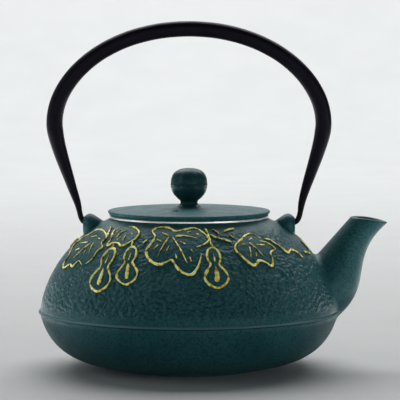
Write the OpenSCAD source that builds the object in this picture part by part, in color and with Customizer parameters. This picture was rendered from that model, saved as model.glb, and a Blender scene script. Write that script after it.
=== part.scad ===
// Cast iron teapot with a swinging bail handle, lift-off lid and steel infuser.
// Millimetres, +Z up, spout towards +X, origin at the centre of the foot.

/* [Body] */
// Diameter at the seam, the widest line of the pot
body_d = 171; // [150:1:190]
// Height of the mould seam above the table
seam_h = 32; // [26:1:38]
// Height of the mouth rim above the table
mouth_h = 85.6; // [78:0.1:92]
// Outside diameter of the mouth rim
mouth_d = 91; // [84:1:96]
// Diameter of the opening in the mouth
opening_d = 77; // [72:1:80]
// Outside diameter of the foot ring
foot_d = 87; // [80:1:96]
// Thickness of the cast wall
wall = 3; // [2.5:0.1:4]

/* [Spout] */
// Distance of the spout's tip from the pot's axis
spout_reach = 112.8; // [106:0.1:118]
// Height of the spout's tip
spout_h = 82.4; // [78:0.1:86]
// Width of the spout where it leaves the body
spout_root_w = 43; // [34:1:46]
// Width of the spout across its mouth
spout_mouth_w = 19; // [16:0.5:24]
// Wall of the spout
spout_wall = 2.3; // [1.8:0.1:3]

/* [Lid] */
// Diameter of the lid
lid_d = 92.2; // [86:0.1:94]
// Height of the lid's rim
lid_rim_h = 2.7; // [1.8:0.1:4]
// Rise of the dome above the lid's rim
lid_dome_h = 2.1; // [1:0.1:5]
// Diameter of the knob
knob_d = 20.8; // [16:0.1:24]
// Height of the knob above the lid
knob_h = 22; // [18:0.1:26]
// Diameter of the steam hole
vent_d = 3.5; // [2.5:0.1:5]

/* [Infuser] */
// Thickness of the steel rim between pot and lid
rim_t = 1.1; // [0.8:0.1:1.5]
// Diameter of the basket
basket_d = 68; // [60:1:70]
// Depth of the basket below the mouth
basket_depth = 46; // [35:1:55]
// Thickness of the perforated sheet
sheet_t = 0.6; // [0.4:0.1:1]
// Diameter of the holes in the sheet
hole_d = 3; // [2:0.1:4]

/* [Handle] */
// Height of the handle's centre line above the table
handle_h = 192.4; // [180:0.1:205]
// Half of the handle's greatest span, on its centre line
handle_half_span = 76.3; // [72:0.1:80]
// Thickness of the handle at its sides
handle_t = 9.1; // [7:0.1:11]
// Thickness of the handle at its ends
handle_end_t = 3; // [2.6:0.1:3.4]
// Height of the pivot above the table
pivot_h = 82.4; // [80:0.1:84]
// Diameter of the pivot pins
pin_d = 3.2; // [2.8:0.1:4]
// Distance of the lugs' outer faces from the pot's axis
lug_reach = 60.2; // [57:0.1:61]

/* [Relief] */
// Height of the raised lines above the casting
relief_h = 0.9; // [0.5:0.1:1.2]
// Width of the raised lines
relief_w = 1.7; // [1.2:0.1:2.4]

/* [Hidden] */
$fn = 48;
pin_clearance = 0.08;
bore_clearance = 0.1;
cut = 1;
lid_z = mouth_h + rim_t;
lid_top_z = lid_z + lid_rim_h + lid_dome_h;
screw_d = 4;
washer_t = 0.8;
lid_plate_t = 2.6;
knuckle_x = lug_reach + 2.5;
collar_d = basket_d + 2 * sheet_t;
basket_z = mouth_h - basket_depth;

// ---- curves ----

// Point at t, 0 to 1, of the cubic curve that four control points c set out.
function curve_point(c, t) =
    pow(1 - t, 3) * c[0] + 3 * pow(1 - t, 2) * t * c[1]
    + 3 * (1 - t) * t * t * c[2] + pow(t, 3) * c[3];

function curve(c, steps) = [for (i = [0 : steps]) curve_point(c, i / steps)];

function unit(v) = v / norm(v);

// The body's half profile as [radius, height]: foot to seam, then seam to mouth.
belly = [[foot_d / 2, 1.6], [72, 3], [81, 17], [body_d / 2 - 0.9, seam_h - 2]];
shoulder = [[body_d / 2 - 0.4, seam_h + 1.4], [82, 53.3], [67.4, 74.5], [mouth_d / 2, mouth_h - 1]];

// ---- swept strips and tubes ----

// Joins rings of equal length into a closed solid: capped ends, or a loop.
module skin(rings, loop = false) {
    n = len(rings);
    m = len(rings[0]);
    last = loop ? n - 1 : n - 2;
    points = [for (ring = rings) each ring];
    sides = [for (i = [0 : last]) for (j = [0 : m - 1])
        let(a = i * m + j, b = i * m + (j + 1) % m,
            c = ((i + 1) % n) * m + (j + 1) % m, d = ((i + 1) % n) * m + j)
        each [[a, b, c], [a, c, d]]];
    start = [for (j = [1 : m - 2]) [0, j + 1, j]];
    end = [for (j = [1 : m - 2]) [(n - 1) * m, (n - 1) * m + j, (n - 1) * m + j + 1]];
    polyhedron(points, loop ? sides : concat(sides, start, end));
}

// ---- pot ----

module pot_casting() {
    color("darkslategray")
    difference() {
        union() {
            body_outside();
            skin(spout_rings(0));
            lug();
            mirror([1, 0, 0]) lug();
        }
        body_inside();
        spout_channel();
        lug_bore();
        mirror([1, 0, 0]) lug_bore();
    }
}

module body_outside() {
    foot_w = 5.5;
    foot_recess = 1.5;
    seam_r = body_d / 2;
    rotate_extrude($fn = 96)
    polygon(concat(
        [[0, foot_recess], [foot_d / 2 - foot_w, foot_recess], [foot_d / 2 - foot_w + 0.6, 0],
         [foot_d / 2 - 0.8, 0]],
        curve(belly, 9),
        [[seam_r + 0.2, seam_h - 0.9], [seam_r + 0.2, seam_h + 0.5]],
        curve(shoulder, 11),
        [[mouth_d / 2 - 1, mouth_h], [0, mouth_h]]
    ));
}

module body_inside() {
    floor_z = 4.6;
    neck_h = 3.4;
    low = [[foot_d / 2, floor_z], [70, 6.2], [77.6, 17], [body_d / 2 - wall - 0.6, seam_h]];
    high = [[body_d / 2 - wall - 0.6, seam_h + 1], [78.6, 51], [65, 71.4], [opening_d / 2, mouth_h - neck_h]];
    rotate_extrude($fn = 96)
    polygon(concat(
        [[0, floor_z]], curve(low, 6), curve(high, 8),
        [[opening_d / 2, mouth_h + cut], [0, mouth_h + cut]]
    ));
}

// Rings of the spout, or of its channel when inset is the wall to leave.
function spout_rings(inset) =
    let(front = [[80.5, 0, 25.5], [109, 0, 45.9], [88.1, 0, 60.6], [spout_reach, 0, spout_h]],
        back_start = [68, 0, 58.5],
        back_end = [91.9, 0, 85.6],
        steps = 12,
        sides = 24)
    [for (i = [0 : steps])
        let(t = i / steps,
            f = curve_point(front, t),
            b = back_start + (back_end - back_start) * t,
            middle = (f + b) / 2,
            half = norm(f - b) / 2 - inset,
            half_w = (spout_root_w + (spout_mouth_w - spout_root_w) * sin(90 * t)) / 2 - inset,
            along = unit(f - b))
        [for (j = [0 : sides - 1])
            middle + along * half * cos(j * 360 / sides) - [0, half_w * sin(j * 360 / sides), 0]]];

// The channel runs on past both ends of the spout, into the pot and out of the mouth.
module spout_channel() {
    rings = spout_rings(spout_wall);
    inward = [-9, 0, -2];
    outward = [1.2, 0, 3];
    skin(concat(
        [[for (p = rings[0]) p + inward]],
        rings,
        [[for (p = rings[len(rings) - 1]) p + outward]]
    ));
}

// Hooded boss on the shoulder: a cone about an axis a little below the pivot's.
module lug() {
    axis_drop = 1.8;
    root = [45.5, 0.9];
    crown = [55.6, 6.9];
    face_r = 4.7;
    translate([0, 0, pivot_h - axis_drop])
    rotate([0, 90, 0])
    rotate_extrude()
    polygon([
        [0, root[0]], [root[1], root[0]], [crown[1] - 0.6, crown[0] - 1.2], [crown[1], crown[0]],
        [crown[1] - 0.3, crown[0] + 1.3], [face_r + 1, lug_reach - 1], [face_r, lug_reach], [0, lug_reach]
    ]);
}

module lug_bore() {
    bore_depth = 8;
    translate([lug_reach - bore_depth, 0, pivot_h])
    rotate([0, 90, 0])
    cylinder(d = pin_d + 2 * pin_clearance, h = bore_depth + cut);
}

// ---- raised lines on the shoulder ----

// Point on the shoulder: arc is millimetres round from angle, up is along the profile.
function on_shoulder(angle, p, lift) =
    let(profile_length = 68,
        t = 0.5 + p[1] / profile_length,
        rz = curve_point(shoulder, t),
        ahead = curve_point(shoulder, t + 0.01),
        slope = unit(ahead - rz),
        r = rz[0] + slope[1] * lift,
        z = rz[1] - slope[0] * lift,
        a = angle + p[0] / rz[0] * 180 / PI)
    [r * cos(a), r * sin(a), z];

// Raised line along flat points, laid on the shoulder round angle.
module stroke(angle, path, loop = false) {
    n = len(path);
    rings = [for (i = [0 : n - 1])
        let(before = loop ? path[(i + n - 1) % n] : path[max(i - 1, 0)],
            after = loop ? path[(i + 1) % n] : path[min(i + 1, n - 1)],
            d = unit(after - before),
            side = [-d[1], d[0]] * relief_w / 2)
        [on_shoulder(angle, path[i] + side, 0),
         on_shoulder(angle, path[i] + side * 0.6, relief_h),
         on_shoulder(angle, path[i] - side * 0.6, relief_h),
         on_shoulder(angle, path[i] - side, 0)]];
    skin(rings, loop);
}

function turned(p, angle) = [p[0] * cos(angle) - p[1] * sin(angle), p[0] * sin(angle) + p[1] * cos(angle)];

// Five-lobed leaf of the given radius with a vein into each lobe.
module leaf(angle, up, radius, turn) {
    lobes = 5;
    points = 40;
    edge = [for (i = [0 : points - 1])
        let(a = i * 360 / points, r = radius * (0.82 + 0.18 * cos(lobes * a)))
        [0, up] + turned([r, 0], a + turn)];
    stroke(angle, edge, loop = true);
    for (i = [0 : lobes - 1])
        let(a = i * 360 / lobes + turn)
        stroke(angle, [[0, up] + turned([radius * 0.2, 0], a), [0, up] + turned([radius * 0.72, 0], a)]);
}

// Gourd of the given length: a large and a small bulb, and a dash in each.
module gourd(angle, up, length, turn) {
    points = 28;
    edge = [for (i = [0 : points - 1])
        let(a = i * 360 / points, y = -length / 2 * cos(a),
            w = length * (0.23 - 0.07 * sin(180 * y / length) + 0.05 * cos(720 * y / length)))
        [0, up] + turned([w * sin(a), y], turn)];
    stroke(angle, edge, loop = true);
    stroke(angle, [[0, up] + turned([0, -length * 0.3], turn), [0, up] + turned([0, -length * 0.12], turn)]);
}

// Waving stem between two angles.
module vine(angle, from, to, up, wave) {
    points = 14;
    stroke(angle, [for (i = [0 : points])
        [from + (to - from) * i / points, up + wave * sin(360 * i / points)]]);
}

// One side's ornament; the other side carries the same.
module ornament(side) {
    leaf(side - 7, 1, 15.5, 20);
    leaf(side - 34, 12, 11, 60);
    leaf(side - 60, -2, 12, 10);
    leaf(side + 33, 2, 13, 45);
    gourd(side + 11.5, -3, 27, 8);
    gourd(side - 25, -6, 24, -14);
    gourd(side - 42, -9, 24, -20);
    vine(side, 10, 26, 17, 1.6);
    vine(side, 52, 72, 2, 2.5);
}

module relief_lines() {
    color("darkkhaki")
    for (side = [-90, 90])
        ornament(side);
}

// ---- infuser ----

module infuser_rim() {
    flange_d = 90.8;
    collar_h = 8;
    fillet = 1.2;
    inner_r = collar_d / 2;
    color("silver")
    rotate_extrude($fn = 96)
    polygon([
        [inner_r, mouth_h - collar_h], [inner_r + sheet_t, mouth_h - collar_h],
        [inner_r + sheet_t, mouth_h - fillet], [inner_r + sheet_t + fillet, mouth_h],
        [flange_d / 2 - 0.4, mouth_h], [flange_d / 2, mouth_h + rim_t / 2],
        [flange_d / 2 - 0.4, lid_z], [inner_r + fillet, lid_z], [inner_r, lid_z - fillet]
    ]);
}

// Perforated sheet rolled into the basket's side, inside the rim's collar.
module infuser_wall() {
    columns = 20;
    rows = 5;
    row_pitch = 6;
    first_row = 7;
    color("lightgray")
    difference() {
        translate([0, 0, basket_z])
        cylinder(d = collar_d, h = basket_depth - 2, $fn = 96);
        translate([0, 0, basket_z - cut])
        cylinder(d = basket_d, h = basket_depth + cut, $fn = 96);
        for (row = [0 : rows - 1], column = [0 : columns - 1])
            rotate([0, 0, (column + row % 2 / 2) * 360 / columns])
            translate([basket_d / 2 - cut, 0, basket_z + first_row + row * row_pitch])
            rotate([0, 90, 0])
            cylinder(d = hole_d, h = 2 * cut + sheet_t, $fn = 24);
    }
}

// Channel ring that holds the base to the side.
module infuser_base_band() {
    band_h = 4;
    color("silver")
    rotate_extrude($fn = 96)
    polygon([
        [collar_d / 2, basket_z], [collar_d / 2, basket_z + band_h],
        [collar_d / 2 + sheet_t, basket_z + band_h], [collar_d / 2 + sheet_t, basket_z - sheet_t],
        [basket_d / 2 - 2, basket_z - sheet_t], [basket_d / 2 - 2, basket_z]
    ]);
}

module infuser_base() {
    pitch = 7;
    rings = 4;
    color("lightgray")
    difference() {
        translate([0, 0, basket_z])
        cylinder(d = basket_d, h = sheet_t, $fn = 96);
        translate([0, 0, basket_z - cut])
        for (ring = [0 : rings], i = [0 : max(6 * ring - 1, 0)])
            rotate([0, 0, i * 60 / max(ring, 1)])
            translate([ring * pitch, 0, 0])
            cylinder(d = hole_d, h = 2 * cut + sheet_t, $fn = 24);
    }
}

// ---- lid ----

module lid_casting() {
    collar_outer_r = basket_d / 2 - 1;
    collar_w = 2.4;
    collar_h = 5;
    rim_round = 0.8;
    rim_taper = 1.1;
    r = lid_d / 2;
    vent_x = -7;
    vent_y = -25;
    dome = [[r - rim_round, lid_z + lid_rim_h], [r * 0.7, lid_top_z - 0.7], [r * 0.4, lid_top_z],
            [8, lid_top_z]];
    under = [[8, lid_top_z - lid_plate_t], [r * 0.3, lid_top_z - lid_plate_t],
             [r * 0.5, lid_top_z - lid_plate_t - 0.4], [collar_outer_r - collar_w, lid_z + 0.9]];
    color("darkslategray")
    difference() {
        rotate_extrude($fn = 96)
        polygon(concat(
            [[collar_outer_r, lid_z], [r - rim_taper - rim_round / 2, lid_z],
             [r - rim_taper, lid_z + rim_round / 2], [r, lid_z + lid_rim_h - rim_round]],
            curve(dome, 6),
            [[0, lid_top_z], [0, lid_top_z - lid_plate_t]],
            curve(under, 4),
            [[collar_outer_r - collar_w, lid_z - collar_h], [collar_outer_r, lid_z - collar_h]]
        ));
        translate([vent_x, vent_y, lid_z - collar_h])
        cylinder(d = vent_d, h = collar_h + lid_rim_h + lid_dome_h + cut, $fn = 32);
        translate([0, 0, lid_z - cut])
        cylinder(d = screw_d + 2 * bore_clearance, h = lid_rim_h + lid_dome_h + 2 * cut, $fn = 32);
    }
}

// Onion-shaped knob on a flared neck, with a raised line round its widest place.
module lid_knob() {
    r = knob_d / 2;
    neck_r = 5;
    foot_r = 6.8;
    neck_z = lid_top_z + 2.8;
    wide_z = lid_top_z + 12.8;
    top_z = lid_top_z + knob_h;
    socket_h = 9;
    bead = 0.2;
    neck = [[foot_r, lid_top_z], [neck_r + 0.3, lid_top_z + 1.2], [neck_r - 0.3, neck_z - 0.8],
            [neck_r, neck_z]];
    lower = [[neck_r + 0.2, neck_z + 0.8], [r - 1.8, neck_z + 3.5], [r, wide_z - 3.8], [r, wide_z - 0.5]];
    upper = [[r, wide_z + 0.5], [r, wide_z + 6.2], [r * 0.69, top_z], [0, top_z]];
    color("darkslategray")
    difference() {
        rotate_extrude($fn = 64)
        polygon(concat(
            [[0, lid_top_z]], curve(neck, 5), curve(lower, 6), [[r + bead, wide_z]], curve(upper, 9)
        ));
        translate([0, 0, lid_top_z - cut])
        cylinder(d = screw_d + 2 * bore_clearance, h = socket_h + cut, $fn = 32);
    }
}

module knob_screw() {
    head_d = 7.5;
    head_h = 2;
    shank_h = 11;
    slot_w = 1.2;
    seat_z = lid_top_z - lid_plate_t - washer_t;
    color("silver")
    difference() {
        union() {
            translate([0, 0, seat_z - head_h])
            cylinder(d = head_d, h = head_h, $fn = 32);
            translate([0, 0, seat_z - cut])
            cylinder(d = screw_d, h = shank_h + cut, $fn = 32);
        }
        translate([-head_d, -slot_w / 2, seat_z - head_h - cut])
        cube([2 * head_d, slot_w, cut + head_h / 2]);
    }
}

module knob_washer() {
    washer_d = 10;
    color("silver")
    translate([0, 0, lid_top_z - lid_plate_t - washer_t])
    difference() {
        cylinder(d = washer_d, h = washer_t, $fn = 32);
        translate([0, 0, -cut])
        cylinder(d = screw_d + 2 * bore_clearance, h = washer_t + 2 * cut, $fn = 32);
    }
}

// ---- handle ----

// Half of the arch, from the top down to the knuckle outside the lug.
function arch_half() =
    let(widest = [handle_half_span, 0, 139],
        knuckle = [knuckle_x, 0, pivot_h],
        crown = [[0, 0, handle_h], [46.6, 0, handle_h], [handle_half_span, 0, 164.3], widest],
        leg = [widest, [handle_half_span, 0, 126.3], [64.1, 0, 102.2], knuckle])
    concat(curve(crown, 12), [for (i = [1 : 14]) curve_point(leg, i / 14)]);

// The bar is full thickness down to its widest point and tapers from there to its ends.
function handle_thickness(z) =
    let(taper_end_z = 89, taper_h = 45)
    handle_end_t + (handle_t - handle_end_t) * min(1, max(0, (z - taper_end_z) / taper_h));

module bail_handle() {
    sides = 20;
    depth = 1.15;
    half = arch_half();
    n = len(half);
    path = concat([for (i = [n - 1 : -1 : 1]) [-half[i][0], 0, half[i][2]]], half);
    rings = [for (i = [0 : len(path) - 1])
        let(p = path[i],
            d = unit(path[min(i + 1, len(path) - 1)] - path[max(i - 1, 0)]),
            across = [-d[2], 0, d[0]],
            r = handle_thickness(p[2]) / 2)
        [for (j = [0 : sides - 1])
            p + across * r * cos(j * 360 / sides) + [0, r * depth * sin(j * 360 / sides), 0]]];
    color("dimgray")
    union() {
        skin(rings);
        handle_end();
        mirror([1, 0, 0]) handle_end();
    }
}

// Knuckle and the pin that turns in the lug.
module handle_end() {
    knuckle_d = 4.4;
    pin_tip_x = lug_reach - 6.5;
    translate([knuckle_x, 0, pivot_h]) sphere(d = knuckle_d);
    translate([pin_tip_x, 0, pivot_h])
    rotate([0, 90, 0])
    cylinder(d = pin_d, h = knuckle_x - pin_tip_x);
}

pot_casting();
relief_lines();
infuser_rim();
infuser_wall();
infuser_base_band();
infuser_base();
lid_casting();
lid_knob();
knob_screw();
knob_washer();
bail_handle();
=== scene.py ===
"""Looks for the cast iron teapot: finished surfaces over the CAD frame, a pale studio and the camera.

Lengths are millimetres until a mesh is made, and then metres. +Z is up, the spout points to +X, and the
origin is the centre of the foot.
"""

import math

import bmesh
import bpy
import numpy as np
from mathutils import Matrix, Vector, noise


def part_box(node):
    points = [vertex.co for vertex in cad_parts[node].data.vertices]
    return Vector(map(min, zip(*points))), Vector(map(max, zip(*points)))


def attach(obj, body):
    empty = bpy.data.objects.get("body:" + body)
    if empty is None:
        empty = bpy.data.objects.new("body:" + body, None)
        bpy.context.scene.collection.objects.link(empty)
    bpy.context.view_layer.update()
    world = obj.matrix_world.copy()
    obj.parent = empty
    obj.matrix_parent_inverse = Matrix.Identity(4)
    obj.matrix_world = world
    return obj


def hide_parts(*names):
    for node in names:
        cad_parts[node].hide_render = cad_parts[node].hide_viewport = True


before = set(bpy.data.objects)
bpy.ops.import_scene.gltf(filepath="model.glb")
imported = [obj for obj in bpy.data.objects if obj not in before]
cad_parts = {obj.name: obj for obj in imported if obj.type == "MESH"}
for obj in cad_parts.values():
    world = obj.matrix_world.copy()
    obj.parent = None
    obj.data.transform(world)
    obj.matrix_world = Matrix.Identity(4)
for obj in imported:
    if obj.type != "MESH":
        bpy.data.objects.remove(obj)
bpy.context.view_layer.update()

MM = 0.001


def box_mm(node):
    """A CAD node's lowest and highest corners in millimetres."""
    low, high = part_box(node)
    return np.array(low) / MM, np.array(high) / MM


# ---- driving sizes, from the frame ----

pot_low, pot_high = box_mm("pot_casting")
lid_high = box_mm("lid_casting")[1]
rim_low, rim_high = box_mm("infuser_rim")
wall_low, wall_high = box_mm("infuser_wall")
knob_low, knob_high = box_mm("lid_knob")
bail_low, bail_high = box_mm("bail_handle")

SEAM_R = -pot_low[0]
SPOUT_X = pot_high[0]
MOUTH_Z = rim_high[2] - 1.1
LID_R = lid_high[0]
LID_Z = rim_high[2]
LID_TOP = lid_high[2]
PIVOT_Z = bail_low[2] + 2.2
SEAM_Z = 32.0
MOUTH_R = 45.5
OPENING_R = 38.5
FOOT_R = 43.5
FLOOR_Z = 4.6
WALL = 3.0
LUG_X = 60.2


# ---- curves and grids ----

def bezier(points, count):
    """Points along the cubic curve of four control points."""
    a, b, c, d = np.array(points, float)
    t = np.linspace(0, 1, count)[:, None]
    return (1 - t) ** 3 * a + 3 * (1 - t) ** 2 * t * b + 3 * (1 - t) * t * t * c + t ** 3 * d


def smooth_path(points, step, closed=False):
    """A curve through the given points (Catmull-Rom), walked in even steps."""
    p = np.array(points, float)
    if closed:
        p = np.vstack([p[-1], p, p[0], p[1]])
    else:
        p = np.vstack([2 * p[0] - p[1], p, 2 * p[-1] - p[-2]])
    t = np.linspace(0, 1, 24, endpoint=False)[:, None]
    pieces = []
    for a, b, c, d in zip(p[:-3], p[1:-2], p[2:-1], p[3:]):
        pieces.append(0.5 * (2 * b + (c - a) * t + (2 * a - 5 * b + 4 * c - d) * t ** 2
                             + (3 * b - a - 3 * c + d) * t ** 3))
    curve = np.vstack(pieces + [p[-2:-1]])
    along = np.concatenate([[0], np.cumsum(np.linalg.norm(np.diff(curve, axis=0), axis=1))])
    count = max(3, int(along[-1] / step) + 1)
    even = np.linspace(0, along[-1], count)
    walked = np.stack([np.interp(even, along, curve[:, k]) for k in range(curve.shape[1])], axis=1)
    return walked[:-1] if closed else walked


def unit(v):
    return v / np.maximum(np.linalg.norm(v, axis=-1, keepdims=True), 1e-9)


def smoothstep(low, high, x):
    t = np.clip((x - low) / (high - low), 0, 1)
    return t * t * (3 - 2 * t)


class Build:
    """Collects grids of points and quads in millimetres, with one value per point for the material."""

    def __init__(self):
        self.points = []
        self.faces = []
        self.values = []

    def grid(self, rows, values=None, ring=True, loop=False, cap_start=False, cap_end=False):
        """Adds rows of points; ring joins each row's ends, and loop joins the last row to the first."""
        rows = np.asarray(rows, float)
        n, m, _ = rows.shape
        first = len(self.points)
        self.points.extend(rows.reshape(-1, 3).tolist())
        values = np.zeros((n, m)) if values is None else values
        self.values.extend(np.asarray(values, float).reshape(-1).tolist())
        for i in range(n if loop else n - 1):
            k = (i + 1) % n
            for j in range(m if ring else m - 1):
                q = (j + 1) % m
                row, next_row = first + i * m, first + k * m
                self.faces.append((row + j, row + q, next_row + q, next_row + j))
        if cap_start:
            self.faces.append(tuple(first + j for j in reversed(range(m))))
        if cap_end:
            self.faces.append(tuple(first + (n - 1) * m + j for j in range(m)))

    def drop_faces(self, unwanted):
        """Removes the faces whose middle point the test says is unwanted."""
        points = np.array(self.points)
        middles = np.array([points[list(f)].mean(axis=0) for f in self.faces])
        gone = unwanted(middles)
        self.faces = [f for f, g in zip(self.faces, gone) if not g]

    def piece(self, name, body, slot, *nodes):
        """Makes the mesh object, rides it on its body and lets it stand for its CAD nodes."""
        mesh = bpy.data.meshes.new(name)
        mesh.from_pydata((np.array(self.points) * MM).tolist(), [], self.faces)
        layer = mesh.attributes.new("mask", "FLOAT", "POINT")
        layer.data.foreach_set("value", np.array(self.values, np.float32))
        mesh.validate()
        mesh.shade_smooth()
        obj = bpy.data.objects.new(name, mesh)
        bpy.context.scene.collection.objects.link(obj)
        clean(obj)
        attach(obj, body)
        if nodes:
            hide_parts(*nodes)
        return obj


def clean(obj):
    """Drops loose points and turns every face outwards."""
    bm = bmesh.new()
    bm.from_mesh(obj.data)
    loose = [v for v in bm.verts if not v.link_faces]
    bmesh.ops.delete(bm, geom=loose, context="VERTS")
    bmesh.ops.recalc_face_normals(bm, faces=bm.faces)
    bm.to_mesh(obj.data)
    bm.free()


def lathe(profile, columns):
    """Rows of points from a profile of (radius, height) turned about the Z axis."""
    angle = np.linspace(0, 2 * math.pi, columns, endpoint=False)
    r = np.asarray(profile)[:, 0][:, None]
    z = np.asarray(profile)[:, 1][:, None]
    return np.stack([r * np.cos(angle), r * np.sin(angle), z + 0 * angle], axis=2)


def noise_at(points, size, seed=0.0):
    """Smooth noise from -1 to 1 at each point, with features about the given size."""
    shift = Vector((seed, seed * 0.7, -seed))
    flat = points.reshape(-1, 3) / size
    return np.array([noise.noise(Vector(p) + shift) for p in flat]).reshape(points.shape[:-1])


# ---- the pot's form ----

BELLY = [(FOOT_R, 1.6), (72, 3), (81, 17), (SEAM_R - 1.1, SEAM_Z - 2)]
SHOULDER = [(SEAM_R - 1.1, SEAM_Z + 1.6), (82, 53.3), (67.4, 74.5), (MOUTH_R, MOUTH_Z - 1)]
shoulder_line = bezier(SHOULDER, 400)
belly_line = bezier(BELLY, 200)
outside_line = np.vstack([belly_line, shoulder_line])
shoulder_along = np.concatenate([[0], np.cumsum(np.linalg.norm(np.diff(shoulder_line, axis=0), axis=1))])
SHOULDER_LENGTH = shoulder_along[-1]


def on_shoulder(around, up):
    """Points and outward directions on the shoulder.

    around is in degrees from +X, and up is the way up the surface from the seam, in millimetres.
    """
    def at(way_up):
        return [np.interp(way_up, shoulder_along, shoulder_line[:, k]) for k in (0, 1)]

    (r, z), (low_r, low_z), (high_r, high_z) = at(up), at(up - 0.2), at(up + 0.2)
    dr, dz = high_r - low_r, high_z - low_z
    dr, dz = dr / np.hypot(dr, dz), dz / np.hypot(dr, dz)
    c, s = np.cos(np.radians(around)), np.sin(np.radians(around))
    return np.stack([r * c, r * s, z], axis=-1), np.stack([dz * c, dz * s, -dr], axis=-1)


# ---- ornament: a gourd vine in raised lines ----
# Every point is (degrees round from the middle of its side, millimetres up the shoulder from the seam).
# The lists follow points measured on the photographed ornament, rounded mostly to halves, so this is not a
# generic design, and that is an open fault.

LINE_W = 2.35
LINE_H = 1.1
FRONT = -90
BACK = 90

BROAD_LEAF = [(6, 42.5), (5.5, 39), (4, 33.5), (1.5, 29), (-1.5, 29.5), (-4.5, 32.5), (-7.5, 38),
              (-10, 36.5), (-13, 35), (-16.5, 36.5), (-19.5, 40), (-21, 44.5), (-20, 49), (-19, 55),
              (-22.5, 60), (-19.5, 63.5), (-13, 63.5), (-8, 60.5), (-2.5, 62), (3.5, 63.5), (8, 60),
              (11, 53.5), (8, 49.5), (4, 47.5)]
BROAD_VEINS = [[(-11, 55), (-13, 48), (-14.5, 41)], [(-9, 55), (-4, 45.5), (-0.5, 36)],
               [(-7.5, 56), (-1, 56), (5, 54)], [(-11.5, 56), (-16.5, 59)]]
BROAD_DASHES = [[(-17.5, 53), (-14.5, 51)], [(-17.5, 45.5), (-15.8, 48.5)], [(-9.8, 48.5), (-10.8, 44.5)],
                [(-4.5, 51.5), (-1.5, 49.5)], [(0.5, 46.5), (2, 44)], [(-6.2, 42.5), (-5.4, 39)],
                [(-1, 59.5), (1.5, 60)], [(0.6, 40.5), (1.4, 37)], [(3.5, 57.8), (6, 57.4)]]

SMALL_LEAF = [(41, 50.5), (44.5, 48.5), (47, 43.5), (42.5, 41), (41, 36), (39, 32.5), (36, 35.5),
              (33.5, 36.5), (31, 34), (29, 34), (27, 37), (25, 41), (23.5, 44.5), (25, 48.5),
              (29.5, 52), (34.5, 55.5), (39.5, 56), (43, 52.5)]
SMALL_VEINS = [[(33, 49), (35.5, 44), (37, 39.5)], [(32, 46), (31, 42.5), (30, 39)]]
SMALL_DASHES = [[(37, 47.8), (42, 46.7)], [(27.5, 47.4), (30, 48.7)], [(34, 51.4), (37, 52.7)],
                [(34, 42), (33.2, 39.4)]]

UPPER_LEAF = [(-42, 63), (-37, 62.5), (-31, 58.5), (-30, 54), (-32, 50.5), (-36, 46.5), (-39.5, 48.5),
              (-43, 48), (-45.5, 46), (-46.5, 51), (-50.5, 57.5), (-50, 62)]
UPPER_VEINS = [[(-43.5, 53), (-43, 57.5), (-40, 59)], [(-38.2, 54.8), (-37.4, 50.5)]]
UPPER_DASHES = [[(-36, 57.5), (-34, 56)], [(-41.8, 51), (-40.4, 53.5)], [(-47.5, 57), (-45.5, 59.5)]]

LEFT_LEAF = [(-52, 32.5), (-49.5, 36.5), (-49.5, 41), (-48, 44.5), (-51, 47.5), (-51, 51.5), (-55, 54.5),
             (-62, 57), (-70, 56.5), (-73, 51.5), (-77.5, 47.5), (-77.5, 41), (-73, 36), (-71, 29.5),
             (-68, 27.5), (-64, 30.5), (-61, 29.5), (-58.5, 33.5), (-54.5, 31.5)]
LEFT_VEINS = [[(-60, 46), (-62.5, 40), (-64.5, 34.5)], [(-57.5, 46.5), (-54, 38.5)],
              [(-62.5, 46.5), (-71.5, 44.5)]]
LEFT_DASHES = [[(-66, 50.5), (-61, 52)], [(-58.5, 51), (-55, 50)], [(-69.5, 39.5), (-66, 41.5)],
               [(-58, 38), (-59.2, 41)]]

STEMS = [
    [(10.5, 63.5), (11.3, 58.5), (11.5, 53), (12, 47)],
    [(12.5, 57.5), (15.5, 54.5), (20, 52.5), (23.5, 50.5)],
    [(15, 62), (18, 58)],
    [(22, 60), (26, 61.5), (30, 62)],
    [(24, 56.5), (25.5, 54)],
    [(-24.5, 49.5), (-22.8, 52.7)],
    [(45.5, 52), (48.5, 50), (51.5, 45), (54.5, 40), (59, 41.5), (62, 39.5), (64.5, 35.5)],
    [(70, 38.5), (77, 36)],
    [(82, 38), (83, 45)],
    [(-41.5, 47), (-40.7, 44.5)],
    [(-31, 50.5), (-30, 46.5)],
    [(-58, 61), (-54.5, 57), (-51.5, 52.5)],
]


def gourd_outline(length):
    """A hanging gourd with its stalk at the origin, in millimetres: a small bulb above a large one."""
    down = np.array([0.02, 0.08, 0.2, 0.33, 0.45, 0.56, 0.68, 0.8, 0.92, 0.99])
    half = np.array([0.03, 0.09, 0.125, 0.12, 0.08, 0.13, 0.19, 0.2, 0.135, 0.04])
    right = np.stack([half, -down], axis=1) * length
    return np.vstack([right, right[::-1] * (-1, 1)])


def turned(points, degrees):
    c, s = math.cos(math.radians(degrees)), math.sin(math.radians(degrees))
    p = np.asarray(points, float)
    return np.stack([p[..., 0] * c - p[..., 1] * s, p[..., 0] * s + p[..., 1] * c], axis=-1)


def place(flat, angle, up):
    """Flat motif points as (degrees round, way up) on the shoulder."""
    radius = np.interp(up, shoulder_along, shoulder_line[:, 0])
    flat = np.asarray(flat, float)
    return np.stack([angle + np.degrees(flat[..., 0] / radius), up + flat[..., 1]], axis=-1)


def flattened(points, angle, up):
    """The opposite of place: (degrees round, way up) as flat millimetres from a motif's middle."""
    radius = np.interp(up, shoulder_along, shoulder_line[:, 0])
    p = np.asarray(points, float)
    return np.stack([np.radians(p[..., 0] - angle) * radius, p[..., 1] - up], axis=-1)


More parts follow.
